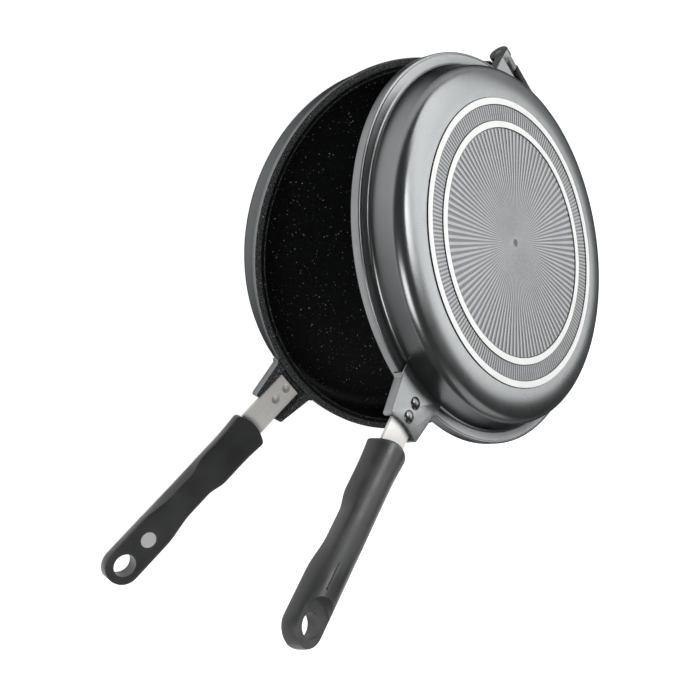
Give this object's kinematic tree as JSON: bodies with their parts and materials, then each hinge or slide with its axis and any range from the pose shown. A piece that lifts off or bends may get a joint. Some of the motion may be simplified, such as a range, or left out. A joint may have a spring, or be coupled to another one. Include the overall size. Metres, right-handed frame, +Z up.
{
  "type": "double sided flip pan",
  "caption": "Round two-sided frying pan that hinges at the rear, with two half-round handles that close flat against each other and hold by magnets.",
  "frame": {"origin": "centre of the lower pan's outer foot ring, on the surface it stands on", "axes": "+Z up, handles towards -Y, hinge towards +Y, +X to the right seen from behind the handles"},
  "size_m": [0.3, 0.5117, 0.2468],
  "materials": {
    "pan_paint": "satin dark grey metallic paint outside, speckled black non-stick coating inside",
    "seal_silicone": "matt",
    "hinge_steel": "satin",
    "tang_steel": "satin",
    "rivet_steel": "satin",
    "grip_plastic": "fine matt grain",
    "magnet_nickel": "plated, lightly brushed",
    "screw_steel": "bright zinc",
    "insert_brass": "turned"
  },
  "bodies": {
    "lower_half": {"lower_pan": "pan_paint", "lower_tang": "tang_steel", "lower_rivet_inner": "rivet_steel", "lower_rivet_outer": "rivet_steel", "lower_grip": "grip_plastic", "lower_magnet": "magnet_nickel", "lower_grip_screw": "screw_steel", "lower_insert": "insert_brass"},
    "upper_half": {"upper_pan": "pan_paint", "rim_seal": "seal_silicone", "hinge_pin": "hinge_steel", "hinge_spacer_left": "hinge_steel", "hinge_spacer_right": "hinge_steel", "upper_tang": "tang_steel", "upper_rivet_inner": "rivet_steel", "upper_rivet_outer": "rivet_steel", "upper_grip": "grip_plastic", "upper_magnet": "magnet_nickel", "upper_grip_screw": "screw_steel", "upper_insert": "insert_brass"}
  },
  "joints": [
    {"name": "rear_hinge", "type": "hinge", "parent": "lower_half", "child": "upper_half", "pos_m": [0, 0.155, 0.0379], "axis": [-1, 0, 0], "range_deg": [-23.2, 156.8]}
  ]
}
